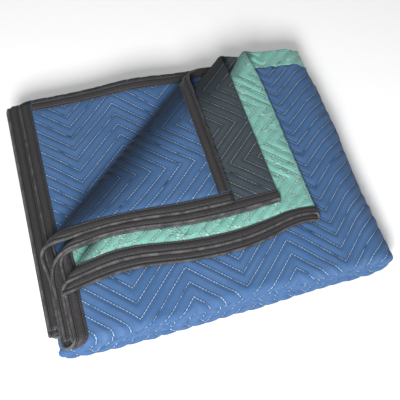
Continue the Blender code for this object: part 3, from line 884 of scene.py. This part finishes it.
def times(tree, first, second):
    """Multiply two values."""
    return calc(tree, "MULTIPLY", first, second)


def plus(tree, first, second):
    """Add two values."""
    return calc(tree, "ADD", first, second)


def apart(tree, value, middle):
    """Give how far a value is from a middle."""
    return calc(tree, "ABSOLUTE", calc(tree, "SUBTRACT", value, middle))


def ramp(tree, value, low, high, start=0.0, end=1.0):
    """Rise smoothly from start to end as a value goes from low to high."""
    node = tree.nodes.new("ShaderNodeMapRange")
    node.interpolation_type = "SMOOTHSTEP"
    for name, number in (
        ("From Min", low),
        ("From Max", high),
        ("To Min", start),
        ("To Max", end),
    ):
        node.inputs[name].default_value = number
    feed(tree, node.inputs["Value"], value)
    return node.outputs["Result"]


def noise_map(tree, vector, scale, detail=2.0, rough_share=0.5):
    """Add a noise texture and give its value."""
    node = tree.nodes.new("ShaderNodeTexNoise")
    node.inputs["Scale"].default_value = scale
    node.inputs["Detail"].default_value = detail
    node.inputs["Roughness"].default_value = rough_share
    link(tree, vector, node.inputs["Vector"])
    return node.outputs["Fac"]


def tint(tree, colour, mask, share, other):
    """Mix another colour in, as far as a mask and a share say."""
    node = tree.nodes.new("ShaderNodeMix")
    node.data_type = "RGBA"
    feed(tree, node.inputs["Factor"], times(tree, mask, share))
    colour_inputs = [socket for socket in node.inputs if socket.type == "RGBA"]
    for socket, value in zip(colour_inputs, (colour, other)):
        if isinstance(value, bpy.types.NodeSocket):
            link(tree, value, socket)
        else:
            socket.default_value = (*value, 1.0)
    return next(socket for socket in node.outputs if socket.type == "RGBA")


def darker(colour, share):
    """Give a colour with a share of its light left."""
    return tuple(share * channel for channel in colour)


# Pale grey for worn places, also used for the painted highlight on the tape's edges
WEAR_AND_HIGHLIGHT_GREY = 0.45


def lighter(colour, share):
    """Give a colour mixed with pale grey, for worn places and for painted highlight."""
    return tuple(channel * (1.0 - share) + WEAR_AND_HIGHLIGHT_GREY * share for channel in colour)


def start_material(name, finish):
    """Start a cloth material: its tree, shader and flat cloth coordinates in metres."""
    material = bpy.data.materials.new(name)
    material.use_nodes = True
    tree = material.node_tree
    shader = tree.nodes["Principled BSDF"]
    shader.inputs["Roughness"].default_value = finish.roughness
    shader.inputs["Sheen Weight"].default_value = finish.sheen
    shader.inputs["Sheen Roughness"].default_value = 0.45
    shader.inputs["Specular IOR Level"].default_value = finish.specular
    coordinates = tree.nodes.new("ShaderNodeUVMap")
    coordinates.uv_map = "cloth"
    split = tree.nodes.new("ShaderNodeSeparateXYZ")
    link(tree, coordinates.outputs["UV"], split.inputs["Vector"])
    return material, tree, shader, coordinates.outputs["UV"], split.outputs


def add_bump(tree, shader, height, strength, distance, normal=None):
    """Add relief to a shader, over relief that it may have already."""
    bump = tree.nodes.new("ShaderNodeBump")
    bump.inputs["Strength"].default_value = strength
    bump.inputs["Distance"].default_value = distance
    link(tree, height, bump.inputs["Height"])
    if normal is not None:
        link(tree, normal, bump.inputs["Normal"])
    link(tree, bump.outputs["Normal"], shader.inputs["Normal"])
    return bump.outputs["Normal"]


# The thread and the valley that it pulls down, from the stitch line outward. Whole turns
# of the zigzag are added so that none is counted from below zero.
THREAD_HALF = 0.45 * MM
THREAD_WANDER = 0.5 * MM
STITCH_LENGTH = 4.6 * MM
VALLEY_FLOOR = 0.4 * MM
VALLEY_EDGE = 1.9 * MM
STITCH_SLANT = math.cos(math.radians(45.0))
WHOLE_TURNS = 10.0

# The tape's two stitch lines, its hem and the roll at its fold
OUTER_STITCHES = 14.4 * MM
INNER_STITCHES = 4.0 * MM
TAPE_STITCH_LENGTH = 4.0 * MM
TAPE_RIB = 1.1 * MM
FOLD_ROLL = 2.2 * MM
HEM = (15.6 * MM, 16.8 * MM)

# How fine each mark on the cloth is: the scale of its noise
THREAD_WANDER_SCALE = 260.0
THREAD_PATCH_SCALE = 45.0
BLOTCH_SCALE = 14.0
SPECK_SCALE = 900.0
CREASE_SCALE = 55.0
PUCKER_SCALE = 190.0
TAPE_BLOTCH_SCALE = 60.0
TAPE_SPECK_SCALE = 1100.0
TAPE_PUCKER_SCALE = 170.0

# How much of its own colour each mark gives the cloth
WEAR_TINT = 0.55
SPECK_TINT = 0.30
VALLEY_SHADE_TINT = 0.72
CREASE_SHADE_TINT = 0.6
CREASE_HIGHLIGHT_TINT = 0.38
STITCH_TINT = 0.85
FOLD_SHADE_TINT = 0.93
TAPE_WEAR_AND_HIGHLIGHT_TINT = 0.65
TAPE_GROOVE_SHADE_TINT = 0.6
TAPE_STITCH_TINT = 0.35

# How much of the cloth's light is left in its valleys, folds and grooves
VALLEY_LIGHT = 0.22
FOLD_LIGHT = 0.10
GROOVE_LIGHT = 0.45

# How each cloth looks: how pale its worn crests are, its thread, which also colours the painted
# highlight on creases, how rough, glossy and downy it is, the size of its weave, and how sharply
# it crinkles from 0 to 1, which also sets the painted crease highlight and shade
Finish = namedtuple("Finish", "worn_share thread roughness specular sheen weave crinkle")
BLUE_FINISH = Finish(0.14, (0.40, 0.52, 0.68), 0.88, 0.1675, 0.05, 1.5 * MM, 0.05)
GREEN_FINISH = Finish(0.22, (0.62, 0.78, 0.70), 0.46, 0.5, 0.05, 1.3 * MM, 1.0)
DARK_FINISH = Finish(0.10, (0.30, 0.31, 0.33), 0.9, 0.1675, 0.05, 1.5 * MM, 0.05)
# On the tape, the worn share also paints highlight on its rolled fold and hem
TAPE_FINISH = Finish(0.24, None, 0.55, 0.28, 0.03, TAPE_RIB, 0.0)


def stitch_rows(tree, u, v, phase):
    """Give how far each place is from the nearest stitch line, as a share of a row."""
    turns = calc(tree, "MULTIPLY_ADD", u, 1.0 / ZIGZAG_PERIOD, WHOLE_TURNS - phase / ZIGZAG_PERIOD)
    swing = times(tree, apart(tree, calc(tree, "FRACT", turns), 0.5), ZIGZAG_PERIOD)
    row = times(tree, plus(tree, v, swing), 1.0 / ROW_PITCH)
    return apart(tree, calc(tree, "FRACT", plus(tree, row, 0.5)), 0.5)


def thread_dashes(tree, u, vector, distance):
    """Give where the thread shows: dashes along a wavering line, in patches."""
    wander = noise_map(tree, vector, THREAD_WANDER_SCALE, 1.0)
    drift = calc(tree, "MULTIPLY_ADD", wander, THREAD_WANDER, -0.5 * THREAD_WANDER)
    wavered = calc(tree, "ABSOLUTE", plus(tree, distance, drift))
    line = ramp(tree, wavered, 0.6 * THREAD_HALF, 1.3 * THREAD_HALF, 1.0, 0.0)
    stitch = calc(tree, "FRACT", times(tree, u, 1.0 / (STITCH_SLANT * STITCH_LENGTH)))
    dash = ramp(tree, stitch, 0.70, 0.82, 1.0, 0.0)
    patchy = ramp(tree, noise_map(tree, vector, THREAD_PATCH_SCALE), 0.26, 0.48)
    return times(tree, times(tree, line, dash), patchy)


def quilted_material(name, phase, base, finish):
    """Make quilted cloth: weave, worn crests, stitch valleys darkened by painted shade, and thread
    dashes.
    """
    material, tree, shader, vector, (u, v, _) = start_material(name, finish)
    worn = lighter(base, finish.worn_share)
    # The colour of the painted shade in the stitch valleys and beside the creases
    dark = darker(base, VALLEY_LIGHT)

    # Stitches, valleys of painted shade, worn crests and specks
    off_row = stitch_rows(tree, u, v, phase)
    distance = times(tree, off_row, ROW_PITCH * STITCH_SLANT)
    stitches = thread_dashes(tree, u, vector, distance)
    valley = ramp(tree, distance, VALLEY_FLOOR, VALLEY_EDGE, 1.0, 0.0)
    crest = ramp(tree, off_row, 0.22, 0.5)
    blotch = ramp(tree, noise_map(tree, vector, BLOTCH_SCALE, 3.0, 0.6), 0.35, 0.70)
    speck = ramp(tree, noise_map(tree, vector, SPECK_SCALE, 2.0, 0.7), 0.3, 0.75)
    colour = tint(tree, base, times(tree, crest, blotch), WEAR_TINT, worn)
    colour = tint(tree, colour, speck, SPECK_TINT, worn)
    # Painted shade: the valleys by the stitch lines are darkened
    colour = tint(tree, colour, valley, VALLEY_SHADE_TINT, dark)

    # Sharp creases: a pale line of painted highlight, with a dark line of painted shade beside it
    crease_noise = noise_map(tree, vector, CREASE_SCALE)
    crease = ramp(tree, apart(tree, crease_noise, 0.5), 0.0, 0.018, 1.0, 0.0)
    beside = ramp(tree, apart(tree, crease_noise, 0.53), 0.0, 0.016, 1.0, 0.0)
    colour = tint(tree, colour, beside, CREASE_SHADE_TINT * finish.crinkle, dark)
    colour = tint(tree, colour, crease, CREASE_HIGHLIGHT_TINT * finish.crinkle, finish.thread)
    colour = tint(tree, colour, stitches, STITCH_TINT, finish.thread)

    # The painted shade by the turned corner
    folded = tree.nodes.new("ShaderNodeUVMap")
    folded.uv_map = "fold"
    shade = tree.nodes.new("ShaderNodeSeparateXYZ")
    link(tree, folded.outputs["UV"], shade.inputs["Vector"])
    colour = tint(tree, colour, shade.outputs[0], FOLD_SHADE_TINT, darker(base, FOLD_LIGHT))
    link(tree, colour, shader.inputs["Base Color"])

    # Relief of the weave, then of the puckers, stitches and creases over it
    wave_number = 2.0 * math.pi / finish.weave
    warp = calc(tree, "SINE", times(tree, plus(tree, u, v), wave_number))
    weft = calc(tree, "SINE", times(tree, calc(tree, "SUBTRACT", u, v), wave_number))
    cloth = plus(tree, times(tree, warp, weft), times(tree, speck, 1.5))
    normal = add_bump(tree, shader, cloth, 0.25, 0.15 * MM)
    puckers = times(tree, noise_map(tree, vector, PUCKER_SCALE), valley)
    relief = plus(tree, times(tree, puckers, 1.2), times(tree, stitches, 0.3))
    relief = plus(tree, relief, times(tree, crease, 0.3 + 1.2 * finish.crinkle))
    add_bump(tree, shader, relief, 0.6, 0.8 * MM, normal)
    return material


def tape_material(name, base):
    """Make binding tape: fine ribs, two stitch lines, and edges painted lighter, partly as wear
    and partly as painted highlight.
    """
    material, tree, shader, vector, (u, v, _) = start_material(name, TAPE_FINISH)
    worn = lighter(base, TAPE_FINISH.worn_share)

    # Stitch lines and the grooves that they pull down, which are painted darker as shade
    inset = calc(tree, "ABSOLUTE", u)
    near_outer = apart(tree, inset, OUTER_STITCHES)
    near_inner = apart(tree, inset, INNER_STITCHES)
    off_line = calc(tree, "MINIMUM", near_outer, near_inner)
    line = ramp(tree, off_line, 0.3 * MM, 0.8 * MM, 1.0, 0.0)
    stitch = calc(tree, "FRACT", times(tree, v, 1.0 / TAPE_STITCH_LENGTH))
    stitches = times(tree, line, ramp(tree, stitch, 0.6, 0.72, 1.0, 0.0))
    groove = ramp(tree, off_line, 0.2 * MM, 1.8 * MM, 1.0, 0.0)

    # Places at the fold and the hem painted paler: partly wear, partly painted highlight on the
    # rolled edges
    fold = ramp(tree, inset, 0.0, FOLD_ROLL, 1.0, 0.0)
    hem = ramp(tree, inset, *HEM)
    blotch = ramp(tree, noise_map(tree, vector, TAPE_BLOTCH_SCALE, 3.0, 0.6), 0.35, 0.7)
    speck = ramp(tree, noise_map(tree, vector, TAPE_SPECK_SCALE, 2.0, 0.7), 0.3, 0.75)
    wear_and_highlight = times(tree, calc(tree, "MAXIMUM", fold, times(tree, hem, 0.6)), blotch)
    colour = tint(tree, base, wear_and_highlight, TAPE_WEAR_AND_HIGHLIGHT_TINT, worn)
    colour = tint(tree, colour, speck, SPECK_TINT, worn)
    # Painted shade: the grooves by the stitch lines are darkened
    colour = tint(tree, colour, groove, TAPE_GROOVE_SHADE_TINT, darker(base, GROOVE_LIGHT))
    colour = tint(tree, colour, stitches, TAPE_STITCH_TINT, worn)
    link(tree, colour, shader.inputs["Base Color"])

    # Relief of the ribs, then of the puckers and grooves over it
    ribs = calc(tree, "SINE", times(tree, v, 2.0 * math.pi / TAPE_FINISH.weave))
    cloth = plus(tree, ribs, times(tree, speck, 1.2))
    normal = add_bump(tree, shader, cloth, 0.3, 0.12 * MM)
    puckers = noise_map(tree, vector, TAPE_PUCKER_SCALE)
    relief = calc(tree, "SUBTRACT", times(tree, puckers, 1.2), groove)
    add_bump(tree, shader, relief, 0.9, 1.0 * MM, normal)
    return material


class BlanketSettings(bpy.types.PropertyGroup):
    """The sizes and colours of the blanket that a user would change."""

    puff: FloatProperty(
        name="Puff",
        description="How full the wadding is between stitches",
        default=1.0,
        min=0.2,
        max=1.5,
    )
    blue: FloatVectorProperty(
        name="Blue cloth",
        description="Colour of the blue panel",
        default=(0.036, 0.098, 0.225),
        subtype="COLOR",
        min=0.0,
        max=1.0,
    )
    green: FloatVectorProperty(
        name="Green cloth",
        description="Colour of the green panel",
        default=(0.150, 0.400, 0.340),
        subtype="COLOR",
        min=0.0,
        max=1.0,
    )
    dark: FloatVectorProperty(
        name="Dark cloth",
        description="Colour of the dark grey panel",
        default=(0.030, 0.044, 0.055),
        subtype="COLOR",
        min=0.0,
        max=1.0,
    )
    tape: FloatVectorProperty(
        name="Binding tape",
        description="Colour of the tape on the edges",
        default=(0.016, 0.014, 0.016),
        subtype="COLOR",
        min=0.0,
        max=1.0,
    )


class StageSettings(bpy.types.PropertyGroup):
    """The light and the floor."""

    floor_colour: FloatVectorProperty(
        name="Floor",
        description="Colour of the floor",
        default=(0.93, 0.93, 0.93),
        subtype="COLOR",
        min=0.0,
        max=1.0,
    )
    key_power: FloatProperty(
        name="Key light",
        description="Strength of the main light",
        default=68.0,
        min=0.0,
        subtype="POWER",
        unit="POWER",
    )
    fill_power: FloatProperty(
        name="Fill light",
        description="Strength of the fill light",
        default=8.0,
        min=0.0,
        subtype="POWER",
        unit="POWER",
    )


def dress_panel(panel, colour, finish):
    item = make_panel(panel, bpy.context.scene.blanket_settings.puff)
    name = cloth_name(panel)
    material = quilted_material("quilted " + name, panel.phase, tuple(colour), finish)
    item.data.materials.append(material)
    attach(item, "root")
    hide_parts(panel.name)


class BLANKET_OT_blue_panel(bpy.types.Operator):
    """Make the blue quilted panel"""

    bl_idname = "blanket.blue_panel"
    bl_label = "Blue panel"

    def execute(self, context):
        dress_panel(PANELS[0], context.scene.blanket_settings.blue, BLUE_FINISH)
        return {"FINISHED"}


class BLANKET_OT_green_panel(bpy.types.Operator):
    """Make the green quilted panel"""

    bl_idname = "blanket.green_panel"
    bl_label = "Green panel"

    def execute(self, context):
        dress_panel(PANELS[1], context.scene.blanket_settings.green, GREEN_FINISH)
        return {"FINISHED"}


class BLANKET_OT_dark_panel(bpy.types.Operator):
    """Make the dark grey quilted panel"""

    bl_idname = "blanket.dark_panel"
    bl_label = "Dark panel"

    def execute(self, context):
        dress_panel(PANELS[2], context.scene.blanket_settings.dark, DARK_FINISH)
        return {"FINISHED"}


# Each binding: whether it lies on a side of the cloth, and whether at its start
Tape = namedtuple("Tape", "node on_side at_start")
TAPES = (
    Tape("binding_top_side", True, True),
    Tape("binding_second_side", True, False),
    Tape("binding_free_end", False, True),
    Tape("binding_hidden_end", False, False),
)


class BLANKET_OT_bindings(bpy.types.Operator):
    """Make the four binding tapes"""

    bl_idname = "blanket.bindings"
    bl_label = "Bindings"

    def execute(self, context):
        base = tuple(context.scene.blanket_settings.tape)
        material = tape_material("binding tape", base)
        for tape in TAPES:
            name = "tape_" + tape.node.removeprefix("binding_")
            item = make_tape(name, tape.on_side, tape.at_start)
            item.data.materials.append(material)
            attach(item, "root")
            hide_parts(tape.node)
        return {"FINISHED"}


# Where the photo was taken from, fitted to the outline of the stack
CAMERA_PLACE = (-0.1838, -0.7446, 1.0083)
CAMERA_PITCH = 52.5
CAMERA_YAW = 15.1
CAMERA_LENS = 80.1
CAMERA_SENSOR = 36.0

Light = namedtuple("Light", "name place size power_name")
LIGHTS = (
    Light("key light", (-0.58, -1.62, 1.13), 0.6, "key_power"),
    Light("fill light", (-0.3, 0.7, 1.9), 1.4, "fill_power"),
)
LIGHTS_AIM = (0.0, 0.0, 0.04)
SKY_STRENGTH = 0.30
FLOOR_SIZE = 6.0
FLOOR_DROP = 0.4 * MM


class BLANKET_OT_stage(bpy.types.Operator):
    """Make the floor, the lights and the camera"""

    bl_idname = "blanket.stage"
    bl_label = "Stage"

    def execute(self, context):
        scene = context.scene
        settings = scene.blanket_stage
        mesh = bmesh.new()
        bmesh.ops.create_grid(mesh, x_segments=1, y_segments=1, size=FLOOR_SIZE)
        data = bpy.data.meshes.new("floor")
        mesh.to_mesh(data)
        mesh.free()
        floor = bpy.data.objects.new("floor", data)
        floor.location.z = -FLOOR_DROP
        scene.collection.objects.link(floor)
        material = bpy.data.materials.new("pale floor")
        material.use_nodes = True
        shader = material.node_tree.nodes["Principled BSDF"]
        shader.inputs["Base Color"].default_value = (*settings.floor_colour, 1.0)
        shader.inputs["Roughness"].default_value = 0.9
        data.materials.append(material)
        for row in LIGHTS:
            lamp = bpy.data.lights.new(row.name, "AREA")
            lamp.energy = getattr(settings, row.power_name)
            lamp.size = row.size
            item = bpy.data.objects.new(row.name, lamp)
            item.location = row.place
            aim = Vector(LIGHTS_AIM) - Vector(row.place)
            item.rotation_euler = aim.to_track_quat("-Z", "Y").to_euler()
            scene.collection.objects.link(item)
        world = bpy.data.worlds.new("pale sky")
        world.use_nodes = True
        background = world.node_tree.nodes["Background"]
        background.inputs["Color"].default_value = (1.0, 1.0, 1.0, 1.0)
        background.inputs["Strength"].default_value = SKY_STRENGTH
        scene.world = world
        scene.view_settings.view_transform = "Standard"
        camera = bpy.data.cameras.new("camera")
        camera.lens = CAMERA_LENS
        camera.sensor_width = CAMERA_SENSOR
        camera.sensor_fit = "HORIZONTAL"
        item = bpy.data.objects.new("camera", camera)
        item.location = CAMERA_PLACE
        turn = (math.radians(90.0 - CAMERA_PITCH), 0.0, math.radians(-CAMERA_YAW))
        item.rotation_euler = Euler(turn)
        scene.collection.objects.link(item)
        scene.camera = item
        return {"FINISHED"}


class BLANKET_PT_panel(bpy.types.Panel):
    """Lists the blanket's settings and pieces"""

    bl_idname = "BLANKET_PT_panel"
    bl_label = "Moving blanket"
    bl_space_type = "VIEW_3D"
    bl_region_type = "UI"
    bl_category = "Blanket"

    def draw(self, context):
        for settings in (context.scene.blanket_settings, context.scene.blanket_stage):
            for name in settings.bl_rna.properties.keys():
                if name not in ("rna_type", "name"):
                    self.layout.prop(settings, name)
        for operator in OPERATORS:
            self.layout.operator(operator.bl_idname)


OPERATORS = (
    BLANKET_OT_stage,
    BLANKET_OT_blue_panel,
    BLANKET_OT_green_panel,
    BLANKET_OT_dark_panel,
    BLANKET_OT_bindings,
)
CLASSES = (BlanketSettings, StageSettings, *OPERATORS, BLANKET_PT_panel)


def register():
    """Register the add-on's classes and settings."""
    for entry in CLASSES:
        bpy.utils.register_class(entry)
    bpy.types.Scene.blanket_settings = PointerProperty(type=BlanketSettings)
    bpy.types.Scene.blanket_stage = PointerProperty(type=StageSettings)


def unregister():
    """Remove the add-on's classes and settings."""
    del bpy.types.Scene.blanket_stage
    del bpy.types.Scene.blanket_settings
    for entry in reversed(CLASSES):
        bpy.utils.unregister_class(entry)


def main():
    """Make every piece in order."""
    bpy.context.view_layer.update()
    register()
    bpy.ops.blanket.stage()
    bpy.ops.blanket.blue_panel()
    bpy.ops.blanket.green_panel()
    bpy.ops.blanket.dark_panel()
    bpy.ops.blanket.bindings()


if __name__ == "__main__":
    main()
